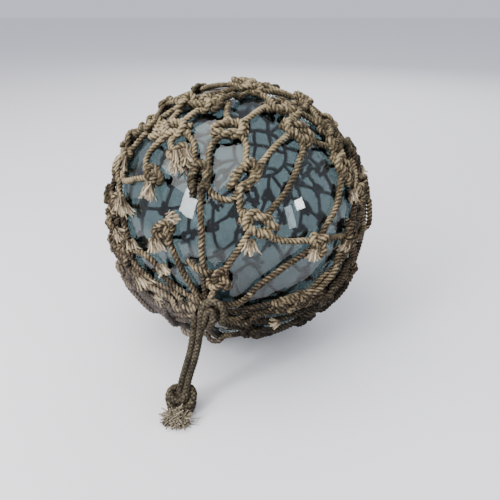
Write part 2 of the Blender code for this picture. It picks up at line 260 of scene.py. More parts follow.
class Finish:
    """A material with a Principled shader, built up node by node."""

    def __init__(self, name):
        self.material = bpy.data.materials.new(name)
        self.material.use_nodes = True
        self.tree = self.material.node_tree
        self.shader = self.tree.nodes["Principled BSDF"]

    def node(self, kind, output=0, settings=None, **values):
        step = self.tree.nodes.new("ShaderNode" + kind)
        for key, value in (settings or {}).items():
            setattr(step, key, value)
        for key, value in values.items():
            numbered = key[0] == "i" and key[1:].isdigit()
            feed(self.tree, step.inputs[int(key[1:]) if numbered else key], value)
        return Wire(self.tree, step.outputs[output])

    def attribute(self, name, output="Fac"):
        return self.node("Attribute", output, {"attribute_name": name})

    def mix(self, share, low, high):
        colours = [colour if isinstance(colour, Wire) else (*colour, 1) for colour in (low, high)]
        return self.node("Mix", 2, {"data_type": "RGBA"}, i0=share, i6=colours[0], i7=colours[1])

    def noise(self, place, scale, detail=3.0, roughness=0.55):
        return self.node("TexNoise", 0, None, Vector=place, Scale=scale, Detail=detail,
                         Roughness=roughness)

    def use(self, socket, value):
        feed(self.tree, self.shader.inputs[socket], value)

    def bump(self, height, strength, distance):
        self.use("Normal", self.node("Bump", 0, None, Strength=strength, Distance=distance,
                                     Height=height))


YARN_SCALE = (150, 10, 10)
BLOTCH_SCALE = 52.0
PATCH_SCALE = 120.0
SPECK_SCALE = 520.0
MOSS = (0.085, 0.083, 0.045)
MOSS_FROM_HEIGHT = 0.20
# Below this height the net is darkened on the right with soot and painted shade, and greyed on the
# left with dust.
SHADE_AND_GRIME_TO_HEIGHT = 0.155
SHADE_AND_SOOT_RIGHT_OF = -0.035
DUST = (0.125, 0.110, 0.112)
DUST_LEFT_OF = -0.01


def rope_finish(name, groove_shade_and_dirt, shade, body, pale, paleness, shade_and_grime):
    """Old twisted rope: dark with painted shade in its grooves, streaked along its yarns, and paler
    where it is worn and where painted light falls.
    """
    finish = Finish(name)
    place = finish.node("TexCoord", 3)
    across = finish.node("SeparateXYZ", 0, None, Vector=place)
    up = finish.node("SeparateXYZ", 2, None, Vector=place)
    crest = finish.attribute("crest")
    tone = finish.attribute("tone")
    line = finish.attribute("line", "Vector")
    yarns = finish.noise(finish.node("Mapping", 0, None, Vector=line, Scale=YARN_SCALE), 1.0, 2.0)
    blotches = finish.noise(place, BLOTCH_SCALE, 4.0, 0.62)
    patches = finish.noise(place, PATCH_SCALE, 2.0)
    specks = finish.noise(place, SPECK_SCALE, 3.0, 0.75)

    # Painted shade darkens the grooves between the strands. The crests are paler where the rope is
    # worn and, through the tone, where painted light falls on the lamp side. All of this is broken
    # up by the yarns.
    worn_and_lit = (crest - 0.5) * 1.2 + (yarns - 0.5) * 2.4 + (blotches - 0.5) * 3.0 + (tone - 0.5) * 1.4
    painted_groove_shade = crest * 2.0 + (yarns - 0.5) * 0.9 + (tone - 0.5) * 1.1 + (blotches - 0.5) * 1.2 - 0.40
    # Pale patches of wear, more of them on the crests and where the tone carries painted light.
    pale_share = (patches - 0.58) * 6.0 + (crest - 0.6) * 1.2 + (tone - 0.6) * 1.6
    colour = finish.mix(painted_groove_shade.clamped(), groove_shade_and_dirt, shade)
    colour = finish.mix((worn_and_lit + 0.22).clamped(), colour, body)
    colour = finish.mix(((worn_and_lit - 0.60 + paleness) * 1.2).clamped(), colour, pale)
    colour = finish.mix(pale_share.clamped() * 0.75, colour, pale)

    # Moss has settled towards the crown and dust low on the left, and low on the right soot and
    # painted shade darken the rope.
    mossy = ((up - MOSS_FROM_HEIGHT) * 10.0 + (blotches - 0.5) * 3.0).clamped() * 0.25
    low = ((SHADE_AND_GRIME_TO_HEIGHT - up) * 16.0 + (blotches - 0.5) * 1.2).clamped() * shade_and_grime
    shade_and_soot = low * ((across - SHADE_AND_SOOT_RIGHT_OF) * 16.0).clamped() * 0.72
    dusty = low * ((DUST_LEFT_OF - across) * 16.0).clamped() * (yarns * 1.3 - 0.15).clamped()
    colour = finish.mix(mossy * (1.15 - crest * 0.6), colour, MOSS)
    colour = finish.mix(shade_and_soot, colour, groove_shade_and_dirt)
    colour = finish.mix(dusty, colour, DUST)

    # Bits of dark dirt and pale fibre are on it everywhere.
    colour = finish.mix(((specks - 0.54) * 6.0).clamped() * 0.75, colour, groove_shade_and_dirt)
    colour = finish.mix(((0.45 - specks) * 5.0).clamped() * 0.45, colour, pale)
    finish.use("Base Color", colour)
    finish.use("Roughness", 0.92)
    finish.use("Specular IOR Level", 0.2)
    finish.bump(yarns * 0.8 + specks * 0.5, 0.6, 0.0007)
    return finish.material


tail_finish = rope_finish(
    "tail rope", (0.009, 0.007, 0.005), (0.026, 0.020, 0.013), (0.072, 0.058, 0.036),
    (0.18, 0.150, 0.098), 0.0, 0.0,
)
TAIL_LAY = 0.0046
TAIL_SIDES = 40
TAIL_STEP = 0.0005
TAIL_OUTWARD = (0, -1, 0.3)
tail_strands = []
for name, route in TAIL_ROUTES.items():
    rope = RopeMesh()
    path = smooth_path(route, TAIL_STEP)
    rope.add(path, TAIL_DIAMETER, TAIL_LAY, TAIL_SIDES, plaited_profile, TAIL_OUTWARD)
    strand = rope.made(name + "_plaited", tail_finish)
    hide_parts(name)
    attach(strand, "root")
    tail_strands.append((strand, path))


# Tail knot. Both strands are tied together in one overhand knot, drawn tight and lying on
# the floor, and their cut ends have opened into a blunt clump of yarns.
KNOT_MIDDLE = Vector((-0.0590, -0.1765, 0.0118))
SEEN_DOWN = Vector((0, -math.sin(LOOK_DOWN), -math.cos(LOOK_DOWN)))
SEEN_NEAR = Vector((0, -math.cos(LOOK_DOWN), math.sin(LOOK_DOWN)))


def knot_place(right, down, near):
    """A point by its distances in mm from the middle of the tail knot, as the camera sees it."""
    return KNOT_MIDDLE + (Vector((right, 0, 0)) + SEEN_DOWN * down + SEEN_NEAR * near) * 0.001


TAIL_KNOT_ROUTES = [
    [(4.4, -14.1, 5.4), (3.6, -10, 7.0), (2.2, -6, 7.6), (0.5, -2.5, 5.0), (-1, 1, 1)],
    [(-2.0, -16.3, 4.3), (-1.8, -11, 5.8), (-1.4, -6, 6.0), (-2, -1, 3)],
    [(-12.5, -13, 0), (-13, -9.0, 4.0), (-9, -5.2, 7.8), (-3.5, -3.4, 9.6), (1.5, -4.4, 8.8),
     (4.8, -8, 5.0), (5.5, -12, 0)],
    [(-2, -13, -6), (-7, -15.0, -3), (-12.4, -12.6, 0), (-14.6, -6.5, 1.5), (-13.0, 0.5, 4),
     (-7.8, 5.2, 7.5), (-0.5, 6.8, 8.8), (6.4, 4.2, 7.6), (11.0, -2.0, 5), (12.2, -9, 2.0),
     (9.0, -14.4, -1), (3, -14.0, -6)],
    [(-13, 4, 0), (-10, 10, 5.5), (-3, 13.0, 9.0), (4.5, 11.5, 7.5), (9.5, 6.5, 4), (11.5, 0, -2)],
    [(-10, -10, -3), (-6, -4, 0), (-2, 1.5, 3), (4, 1.5, 3), (8, -4, 0)],
    [(-10, -2, 0), (-5, 2.5, 3), (2, 1.0, 4), (6, -5, 1)],
]
TAIL_KNOT_STEP = 0.0006
LOOSE_PLAIT = 1.12  # the plait is thicker where the knot bends it
knotted = RopeMesh()
for route in TAIL_KNOT_ROUTES:
    path = smooth_path([knot_place(*point) for point in route], TAIL_KNOT_STEP)
    knotted.add(path, TAIL_DIAMETER * LOOSE_PLAIT, TAIL_LAY, TAIL_SIDES, plaited_profile)

STUBS = [(-10.5, -118, 0.0040), (-6.0, -108, 0.0040), (-1.5, -100, 0.0040), (2.5, -90, 0.0040),
         (-8.0, -112, 0.0102), (-3.0, -100, 0.0102)]
STUB_DIAMETER = 0.0060
STUB_LENGTH = 0.0135
STUB_SAG = Vector((0, 0, -0.0006))
STUB_BEND = Vector((0.0006, 0, 0.0008))
STUB_LAY = 0.012
for right, turned, height in STUBS:
    ahead = Vector((math.cos(math.radians(turned)), math.sin(math.radians(turned)), 0))
    root = knot_place(right, 12.5, 8.0)
    root.z = height
    tip = root + ahead * STUB_LENGTH + STUB_SAG
    path = smooth_path([root, root.lerp(tip, 0.5) + STUB_BEND, tip], TAIL_STEP)
    opening = np.linspace(0.95, 1.15, len(path))
    knotted.add(path, STUB_DIAMETER, STUB_LAY, 18, swell=opening, phase=right)
tail_knot = knotted.made("tail_knot_tied", tail_finish)
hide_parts("tail_knot")
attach(tail_knot, "root")


FIBRE_CORNERS = np.array([0, 2.094, 4.189])
FIBRE_SIDE = (0.31, -0.77, 0.55)
TIP_THICKNESS = 0.6
HAIR_THICKNESS = 0.4
YARN_SCATTER = 0.10
YARN_WAVE = 0.0006


class FibreMesh:
    """Gathers thin fibres into one mesh: each a three-sided tube that thins to its tip."""

    def __init__(self, seed):
        self.points, self.faces, self.fade = [], [], []
        self.count = 0
        self.random = random.Random(seed)

    def add(self, path, radius, fade):
        """One fibre along a path, which fades from its root's colour to its tip's."""
        side, across = frames_along(path, FIBRE_SIDE)
        rows = len(path)
        thin = radius * np.linspace(1, TIP_THICKNESS, rows)[:, None, None]
        ring = (side[:, None, :] * np.cos(FIBRE_CORNERS)[None, :, None]
                + across[:, None, :] * np.sin(FIBRE_CORNERS)[None, :, None])
        self.points.append((path[:, None, :] + ring * thin).reshape(-1, 3))
        base = self.count
        for i in range(rows - 1):
            for k in range(3):
                n = (k + 1) % 3
                a = base + i * 3
                self.faces.append((a + k, a + n, a + 3 + n, a + 3 + k))
        end = base + (rows - 1) * 3
        self.faces += [(base + 2, base + 1, base), (end, end + 1, end + 2)]
        self.fade.append(np.repeat(np.linspace(*fade, rows), 3))
        self.count += rows * 3

    def brush(self, start, ahead, outward, length, spread, count, radius, size, curl):
        """A blunt frayed end: yarns that open out side by side, with fine hair among them."""
        draw = self.random
        side = ahead.cross(outward).normalized()
        for k in range(count):
            thick = radius if k % 2 == 0 else radius * HAIR_THICKNESS
            turn, share = draw.uniform(0, 2 * math.pi), math.sqrt(draw.random())
            u, w = share * math.cos(turn), share * math.sin(turn)
            root = start + side * u * size[0] / 2 + outward * w * size[1] / 2
            aside = u * spread * 0.6 + draw.gauss(0, YARN_SCATTER)
            lifted = w * spread * 0.5 + draw.gauss(0, YARN_SCATTER)
            aim = (ahead + side * aside + outward * lifted).normalized()
            reach = length * draw.uniform(0.72, 1.05) * (1.08 - 0.25 * share * share)
            if thick < radius:
                reach *= draw.uniform(0.8, 1.1)
            bend = (side * draw.gauss(0, curl) + outward * draw.gauss(-0.05, curl)) * reach
            wave = draw.uniform(0, 6.28)
            path = np.array([
                root + aim * reach * t + bend * t * t + side * YARN_WAVE * math.sin(7 * t + wave)
                for t in (0, 0.2, 0.4, 0.6, 0.8, 1)
            ])
            dark = draw.uniform(-0.35, 0.45)
            self.add(path, thick * draw.uniform(0.7, 1.3), (dark, dark + 0.9))

    def made(self, name, material):
        return made_piece(name, self.points, self.faces, {"fade": self.fade}, material)


def fibre_finish(name, root, tip):
    """Loose rope fibre, brown where it leaves the rope and bleached at its tips."""
    finish = Finish(name)
    place = finish.node("TexCoord", 3)
    fade = finish.attribute("fade")
    mottle = finish.noise(place, 420.0, 2.0, 0.6)
    wide = finish.noise(place, 55.0, 2.0)
    pale_share = fade * 1.1 + (mottle - 0.5) * 1.6 + (wide - 0.5) * 1.2
    finish.use("Base Color", finish.mix(pale_share.clamped(), root, tip))
    finish.use("Roughness", 0.9)
    finish.use("Specular IOR Level", 0.25)
    return finish.material


tail_fibre_finish = fibre_finish("tail fibre", (0.022, 0.018, 0.013), (0.30, 0.255, 0.18))
TAIL_BRUSHES = [(-10, 0.006, -125, 0.3), (-6, 0.006, -105, 0.1), (-1, 0.006, -92, 0.1),
                (3, 0.005, -70, 0.2), (-7, 0.011, -115, 0.9), (-2, 0.011, -80, 1.0)]
TAIL_BRUSH_LENGTH = 0.0085
TAIL_BRUSH_SIZE = (0.0100, 0.0070)
TAIL_YARN_RADIUS = 0.00125
TAIL_YARNS = 56
tail_fibres = FibreMesh(5)
for right, height, turned, rise in TAIL_BRUSHES:
    turned = math.radians(turned)
    ahead = Vector((math.cos(turned), math.sin(turned), rise)).normalized()
    root = knot_place(right, 14, 14)
    root.z = height
    outward = ahead.cross(Vector((1, 0.1, 0)))
    tail_fibres.brush(root, ahead, outward, TAIL_BRUSH_LENGTH, 1.2, TAIL_YARNS, TAIL_YARN_RADIUS,
                      TAIL_BRUSH_SIZE, 0.7)
fray = tail_fibres.made("tail_frayed_end", tail_fibre_finish)
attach(fray, "root")
for strand, path in tail_strands:
    path[::8].tolist() + [path[-1].tolist()]


# Glass ball. It is blown as one bubble of bluish bottle glass, wavy and uneven, and closed
# with a pressed button of the same glass at the crown of the net.
GLASS_RADIUS = 0.1525
GLASS_WALL = 0.006
SEAL_RADIUS = 0.018
SEAL_RISE = 0.0024
SEAL_ROUNDING = 0.14
WIDE_WAVE = 0.00022
FINE_WAVE = 0.00006
FINE_WAVE_AT = Vector((3, 1, 7))
WAVES_INWARD = 0.00015
CENTRE = Vector((0, 0, 0.1593))
GATHER = (-12, -13)
CROWN = (168, 13)


def direction(lon, lat):
    """The unit vector from the middle of the glass towards a place on the ball."""
    lon, lat = math.radians(lon), math.radians(lat)
    return Vector((math.sin(lon) * math.cos(lat), -math.cos(lon) * math.cos(lat), math.sin(lat)))


glass_finish = Finish("sea glass")
glass_finish.use("Base Color", (0.265, 0.335, 0.34, 1))
glass_finish.use("Roughness", 0.03)
glass_finish.use("Transmission Weight", 1.0)
glass_finish.use("IOR", 1.48)
bpy.ops.object.select_all(action="DESELECT")
bpy.ops.mesh.primitive_uv_sphere_add(segments=128, ring_count=80, radius=GLASS_RADIUS)
glass = bpy.context.object
glass.name = "glass_ball_blown"
for vertex in glass.data.vertices:
    way = vertex.co.normalized()
    from_axis = math.hypot(vertex.co.x, vertex.co.y)
    button = 0.0
    if vertex.co.z > 0:
        inside = (SEAL_RADIUS * 1.06 - from_axis) / (SEAL_RADIUS * SEAL_ROUNDING)
        button = SEAL_RISE * max(0.0, min(1.0, inside))
    wave = noise.noise(way * 3.1) * WIDE_WAVE + noise.noise(way * 8.0 + FINE_WAVE_AT) * FINE_WAVE
    vertex.co = way * (GLASS_RADIUS - WAVES_INWARD + wave + button)
turn = Vector((0, 0, 1)).rotation_difference(direction(*CROWN)).to_matrix().to_4x4()
glass.data.transform(Matrix.Translation(CENTRE) @ turn)
wall = glass.modifiers.new("wall", "SOLIDIFY")
wall.thickness = GLASS_WALL
wall.offset = -1
bpy.ops.object.modifier_apply(modifier="wall")
bpy.ops.object.shade_smooth()
glass.data.materials.clear()
glass.data.materials.append(glass_finish.material)
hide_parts("glass_ball")
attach(glass, "root")


# Rope net. It is tied round the ball from three-strand rope, 7 mm thick over its crests, drawn
# together at the gather, and mended over the years with odd lengths of the same rope.
ROPE_DIAMETER = 0.0070
BACK_ROPE_DIAMETER = 0.0062
ROPE_LAY = 0.0132
ROPE_SIDES = 18
BACK_ROPE_SIDES = 12
ROPE_RADIUS = GLASS_RADIUS + ROPE_DIAMETER / 2 - 0.0002
VIEW_SIDE = direction(2, 24)
KNOTS = {
    "eye": (-15, 36, 90, "weave"),
    "brow": (-28, 43, 150, "turns"),
    "left_brow": (-41, 53, 20, "weave"),
    "far_left_brow": (-65, 52, 0, "turns"),
    "left_cheek": (-38, 33, 100, "turns"),
    "left_temple": (-70, 31, 80, "weave"),
    "left_edge": (-57, 17, 95, "turns"),
    "left_low": (-58, 3, 110, "weave"),
    "left_inner": (-27, 15, 150, "turns"),
    "top_middle": (-3, 56, 5, "weave"),
    "top_left": (-33, 68, 170, "turns"),
    "top_right": (46, 65, 150, "weave"),
    "right_brow": (41, 52, 120, "weave"),
    "middle": (5, 37, 45, "weave"),
    "mouth": (9, 20, 150, "weave"),
    "right_mouth": (33, 9, 100, "turns"),
    "right_low": (52, 6, 70, "weave"),
    "right_chain_top": (62, 40, 80, "turns"),
    "right_chain_low": (59, 32, 100, "weave"),
    "right_upper": (68, 49, 60, "turns"),
    "right_edge": (82, 33, 90, "weave"),
    "right_inner": (64, 20, 80, "turns"),
    "right_edge_low": (84, 15, 95, "weave"),
    "chin": (28, -14, 10, "turns"),
    "top": (45, 81, 0, "turns"),
    "left_skirt": (-62, -15, 120, "turns"),
    "right_skirt": (62, -16, 60, "turns"),
    "underside": (0, -90, 0, "turns"),
    "under_front": (-8, -80, 0, "turns"),
    "under_left": (-98, -80, 0, "turns"),
    "under_right": (82, -80, 0, "turns"),
    "under_back": (172, -80, 0, "turns"),
    "neck": (-5.5, -1, 50, "turns"),
    "left_brow_end": (-49, 50, 70, "turns"),
    "top_left_end": (-20, 69.5, 20, "turns"),
    "top_right_end": (54, 62, 80, "turns"),
    "right_shoulder": (67, 44, 40, "weave"),
    "left_bunch": (-44, -12, 160, "weave"),
    "left_bunch_low": (-30, -17, 20, "turns"),
    "left_bunch_high": (-49, -1, 120, "turns"),
    "left_bunch_far": (-64, 9, 60, "turns"),
    "band_knot": (22, -15, 5, "weave"),
    "band_knot_far": (42, -19, 20, "turns"),
    "low_knot": (8, -33, 0, "turns"),
    "cap_left": (-60, 66, 30, "turns"),
    "edge_left": (-84, 38, 90, "turns"),
    "edge_left_low": (-82, 12, 80, "turns"),
    "edge_right": (98, 30, 90, "turns"),
    "edge_top": (100, 60, 30, "turns"),
}
ROPES = [
    ["gather", (-11.2, 0), (-11.8, 10), (-12.6, 21), "eye"],
    ["eye", (-19.5, 41.5), (-22.5, 48.5), (-30, 52.5), "left_brow"],
    ["eye", (-13.2, 42), (-12.6, 49), "top_middle"],
    ["eye", (-11.5, 33.5), (-8.5, 30.5), (-3, 28.5), (1.5, 30), "middle"],
    ["brow", (-21, 40), "eye"],
    ["left_brow", (-37, 46.5), "brow"],
    ["left_brow", (-47, 46.5), (-49, 40), (-45, 34.5), "left_cheek"],
    ["left_brow", "far_left_brow"],
    ["left_brow", (-38, 62), "top_left"],
    ["far_left_brow", "left_temple"],
    ["left_cheek", (-50, 30), (-60, 27), "left_temple"],
    ["left_temple", "left_edge"],
    ["left_edge", "left_low"],
    ["left_inner", (-22, 5.5), (-18.5, -2), "gather"],
    ["left_low", (-34, 2), (-26, -6), "gather"],
    ["left_low", (-40, -13), (-26, -17), "gather"],
    ["left_low", "left_skirt"],
    ["left_skirt", (-40, -24), (-25, -24), "gather"],
    ["top_middle", (5.4, 51), (6, 43), "middle"],
    ["top_middle", (8.5, 61), (19, 64.5), (33, 67), "top_right"],
    ["top_middle", (-7, 64), (-8, 72)],
    ["top_left", (-20, 70.5), (-8, 72), (12, 77), "top"],
    ["middle", (3, 31), (3, 24), "mouth"],
    ["right_brow", (31, 51), (21.5, 46.8), (12, 41), "middle"],
    ["right_brow", (38, 45), (32, 39.5), (24, 32), (16, 25.5), "mouth"],
    ["right_brow", (49, 60), "top_right"],
    ["right_brow", (50, 45.5), "right_chain_top"],
    ["right_chain_top", "right_chain_low"],
    ["right_chain_low", (55, 29.5), (46.5, 21), (38, 14), "right_mouth"],
    ["top_right", (60, 60), "right_upper"],
    ["top_right", "top"],
    ["right_upper", "right_chain_top"],
    ["right_upper", "right_edge"],
    ["right_chain_low", "right_inner"],
    ["right_edge", "right_inner"],
    ["right_edge", "right_edge_low"],
    ["right_inner", "right_low"],
    ["right_edge_low", "right_low"],
    ["mouth", (6, 17), (0, 8.5), (-3.6, 2.3), "gather"],
    ["mouth", (14.5, 14.5), (20, 12.7), (27.5, 11.5), "right_mouth"],
    ["right_mouth", (42, 8.5), "right_low"],
    ["gather", (0, -13), (9.8, -3.5), (18, 2), "right_mouth"],
    ["right_low", (50, -2), (38, -7.5), "chin"],
    ["chin", (17.5, -14), (4, -15.5), "gather"],
    ["right_low", "right_skirt"],
    ["right_skirt", (45, -20), (28, -20), (8, -19), "gather"],
    ["gather", (-14, -40), (-10, -65), "under_front"],
    ["left_skirt", (-68, -52), "under_left"],
    ["right_skirt", (62, -52), "under_right"],
    ["under_front", "underside"],
    ["under_left", "underside"],
    ["under_right", "underside"],
    ["under_back", "underside"],
    ["far_left_brow", (-64, 59), "cap_left"],
    ["left_brow_end", (-52, 58), (-55, 63), "cap_left"],
    ["cap_left", (-52, 73), (-38, 78), (0, 84), "top"],
    ["cap_left", (-46, 69), "top_left"],
    ["neck", (-8, -6), "gather"],
    ["neck", (-12, 4), (-18, 5)],
    ["left_bunch_far", (-55, -2), "left_bunch_high"],
    ["left_bunch_high", (-38, -7), (-26, -10), "gather"],
    ["left_edge", (-48, 7), "left_bunch_high"],
    ["left_low", (-56, -8), "left_bunch"],
    ["left_bunch", (-36, -15), "left_bunch_low"],
    ["left_bunch_low", (-21, -17), "gather"],
    ["left_bunch", (-33, -9.5), (-23, -13), "gather"],
    ["left_skirt", (-50, -18), "left_bunch"],
    ["left_skirt", (-46, -32), (-28, -30), (-17, -24), "gather"],
    ["left_bunch_low", (-32, -27), (-30, -42), "under_left"],
    ["left_temple", "edge_left"],
    ["far_left_brow", (-78, 47), "edge_left"],
    ["edge_left", "edge_left_low"],
    ["left_edge", (-70, 17), "edge_left_low"],
    ["edge_left_low", (-74, -2), "left_skirt"],
    ["left_bunch_far", "edge_left_low"],
    ["left_edge", "left_bunch_far"],
    ["gather", (4, -18), "band_knot"],
    ["band_knot", "band_knot_far"],
    ["band_knot_far", (54, -10), "right_low"],
    ["band_knot", (34, -10), (46, 0), "right_low"],
    ["gather", (-2, -22), (16, -26), (32, -25), "band_knot_far"],
    ["gather", (-6, -26), "low_knot"],
    ["low_knot", (22, -38), (40, -32), "right_skirt"],
    ["band_knot_far", (50, -25), "right_skirt"],
    ["left_skirt", (-40, -42), (-15, -46), "low_knot"],
    ["low_knot", (18, -52), (45, -50), (70, -30)],
    ["right_low", (70, -2), (80, 4), "right_edge_low"],
    ["right_skirt", (74, -10), "right_edge_low"],
    ["right_shoulder", "right_chain_top"],
    ["right_shoulder", "right_upper"],
    ["right_shoulder", "right_edge"],
    ["right_edge", "edge_right"],
    ["right_upper", (84, 46), "edge_right"],
    ["edge_right", (97, 20), "right_edge_low"],
    ["right_upper", (84, 57), "edge_top"],
    ["top", (80, 74), "edge_top"],
    ["edge_top", (102, 45), "edge_right"],
    ["top_right_end", (75, 60), "edge_top"],
]
SPOKES = 16
RING_POLARS = [60, 74, 88, 101, 114, 127, 140, 152.5]
RING_UNEVEN = 0.030
CROWN_RING_POLAR = 165
CROWN_RING_POINTS = 24
CROWN_ROPES = [(20, 175, 161, 17), (85, 300, 174, 18), (135, 350, 171, 5)]
CROWN_HUMP = 0.014
LEAST_APART_DEG = 12.5
HIDDEN_BEYOND_DEG = 76
SLACK_SEED = 7
noise.seed_set(SLACK_SEED)  # without it each run would give the ropes another slack


def from_gather(polar, azimuth):
    """The unit vector that far round from the gather, azimuth 0 going up."""
    axis = direction(*GATHER)
    up = (Vector((0, 0, 1)) - axis * axis.z).normalized()
    side = up.cross(axis)
    polar, azimuth = math.radians(polar), math.radians(azimuth)
    across = up * math.cos(azimuth) + side * math.sin(azimuth)
    return axis * math.cos(polar) + across * math.sin(polar)


def apart_deg(a, b):
    return math.degrees(a.angle(b))


def heading_at(place, turn):
    """The unit vector along the ball at a place, turned from east towards up."""
    east = Vector((0, 0, 1)).cross(place)
    east = Vector((1, 0, 0)) if east.length < 1e-3 else east.normalized()
    turn = math.radians(turn)
    return east * math.cos(turn) + place.cross(east) * math.sin(turn)


DEG_BETWEEN_STOPS = 12
SLACK = 0.0017
TIED_WITHIN = 0.012


def over_ball(stops, step):
    """A rope's path over the ball through some unit vectors, a little slack and uneven."""
    rough = []
    for start, end in zip(stops, stops[1:]):
        count = max(1, round(apart_deg(start, end) / DEG_BETWEEN_STOPS))
        rough += [start.slerp(end, i / count) for i in range(count)]
    rough.append(stops[-1])
    path = smooth_path([CENTRE + place * ROPE_RADIUS for place in rough], step)
    for i, point in enumerate(path):
        fade = min(1.0, min(i, len(path) - 1 - i) * step / TIED_WITHIN)
        path[i] += np.array(noise.noise_vector(Vector(point) * 42)) * SLACK * fade
    outward = path - np.array(CENTRE)
    return np.array(CENTRE) + outward / np.linalg.norm(outward, axis=1)[:, None] * ROPE_RADIUS


PRESSED_TOGETHER = 0.97
MOST_LAYERS = 2.0
KNOT_REACH = 0.010
DRAPE_WIDTH = 3
DRAPE_SOFTNESS = 4


def draped(path, laid, free, step):
    """Lifts a path over the ropes that lie there already, but not within the knots at its ends."""
    centre = np.array(CENTRE)
    if laid:
        below = np.vstack(laid) - centre
        height = np.linalg.norm(below, axis=1)
        here = path - centre
        here_height = np.linalg.norm(here, axis=1)
        cosine = (here / here_height[:, None]) @ (below / height[:, None]).T
        apart = ROPE_RADIUS * np.sqrt(np.maximum(0, 2 - 2 * cosine))
        reach = PRESSED_TOGETHER * ROPE_DIAMETER
        over = height[None, :] + np.sqrt(np.maximum(0, reach**2 - apart**2))
        wanted = np.where(apart < reach, over, ROPE_RADIUS).max(axis=1)
        wanted = np.minimum(wanted, ROPE_RADIUS + MOST_LAYERS * ROPE_DIAMETER)
        gone = np.arange(len(path)) * step
        for end, near in zip(free, (gone, gone[::-1])):
            if not end:
                wanted = np.where(near < KNOT_REACH, ROPE_RADIUS, wanted)
        padded = np.pad(wanted, DRAPE_WIDTH, mode="edge")
        shifts = range(2 * DRAPE_WIDTH + 1)
        wanted = np.max([padded[i:i + len(wanted)] for i in shifts], axis=0)
        kernel = np.exp(-np.linspace(-2, 2, 2 * DRAPE_SOFTNESS + 1) ** 2)
        padded = np.pad(wanted, DRAPE_SOFTNESS, mode="edge")
        wanted = np.convolve(padded, kernel / kernel.sum(), mode="valid")
        path = centre + here / here_height[:, None] * wanted[:, None]
    return path


TURNS_POINTS = 24
TURNS_LENGTH = 0.56
TURNS_WIDTH = 0.50
TURNS_DEPTH = 0.52


def knot_routes(kind):
    """The ropes of one knot, in rope diameters: ahead, aside and out from the glass."""
    if kind == "weave":
        bight = [(-2.7, 0.75, 0.0), (-1.6, 0.62, 0.95), (-0.1, 0.95, 0.05), (0.9, 1.2, 0.45),
                 (1.6, 0.75, 0.95), (1.8, 0.0, 1.05)]
        low = [(2.7, 0.7, 0.0), (1.6, 0.58, 0.0), (0.1, 0.98, 1.0), (-0.9, 1.2, 0.5),
               (-1.55, 0.75, 0.05), (-1.75, 0.0, 0.0)]
        whole = []
        for half in (bight, low):
            whole.append(half + [(a, -b, c) for a, b, c in reversed(half[:-1])])
        return whole
    turns = []
    for i in range(TURNS_POINTS + 1):
        t = 2 * math.pi * (i / TURNS_POINTS + 0.04)
        ahead = TURNS_LENGTH * (math.sin(t) + 2 * math.sin(2 * t))
        aside = TURNS_WIDTH * (math.cos(t) - 2 * math.cos(2 * t))
        turns.append((ahead, aside, 0.5 - TURNS_DEPTH * math.sin(3 * t)))
    return [turns]


def rope_tone(place):
    """How pale the rope is at a place: paler or darker at random, and a little paler towards the
    top.
    """
    return 0.5 + 0.55 * noise.noise(place * 3.0) + 0.12 * place.z


knots = {name: (direction(lon, lat), turn, kind) for name, (lon, lat, turn, kind) in KNOTS.items()}
gather = direction(*GATHER)
placed = [place for place, _, _ in knots.values()] + [gather]
found = {}
for ring, polar in enumerate(RING_POLARS):
    for spoke in range(SPOKES):
        place = from_gather(polar, (spoke + 0.5 * (ring % 2)) * 360 / SPOKES)
        place = (place + Vector(noise.noise_vector(place * 7.3)) * RING_UNEVEN).normalized()
        free = min(apart_deg(place, other) for other in placed) > LEAST_APART_DEG
        if free and apart_deg(place, VIEW_SIDE) > HIDDEN_BEYOND_DEG:
            found[ring, spoke] = place
pairs = []
for (ring, spoke), place in found.items():
    near = sorted(placed, key=lambda other: apart_deg(other, place))
    for step in (0, 1):
        beside = (spoke + step - 1 + ring % 2) % SPOKES
        pairs.append((found.get((ring - 1, beside), near[step]), place))
        if ring == len(RING_POLARS) - 1:
            if (spoke + step) % 2:
                azimuth = (spoke + 0.5 * (ring % 2) + (step - 0.5) * 0.8) * 360 / SPOKES
                pairs.append((place, from_gather(CROWN_RING_POLAR, azimuth)))
        elif (ring + 1, beside) not in found and (near[0], place) not in pairs:
            pairs.append((near[0], place))

net_finish = rope_finish(
    "net rope", (0.004, 0.003, 0.0025), (0.024, 0.017, 0.012), (0.100, 0.072, 0.040),
    (0.40, 0.315, 0.185), -0.06, 1.0,
)
FINE_STEP = 0.0011
BACK_STEP = 0.0017
GATHER_INSIDE = 0.006
KNOT_INSIDE = 0.0052
POINTS_NOT_LAID_ON = 6
UPPER_FROM = 0.32
PIECE_NAMES = ["net_ropes_upper", "net_ropes_lower", "net_ropes_back", "net_knots_front",
               "net_knots_back"]
pieces = {name: RopeMesh() for name in PIECE_NAMES}


def stop_place(stop):
    """The unit vector towards a rope's stop: the gather, a named knot or a place on the ball."""
    if stop == "gather":
        return gather
    return knots[stop][0] if isinstance(stop, str) else direction(*stop)


def hidden_end(stop):
    """How much of a rope's end its stop holds inside."""
    if stop == "gather":
        return GATHER_INSIDE
    return KNOT_INSIDE if isinstance(stop, str) else 0


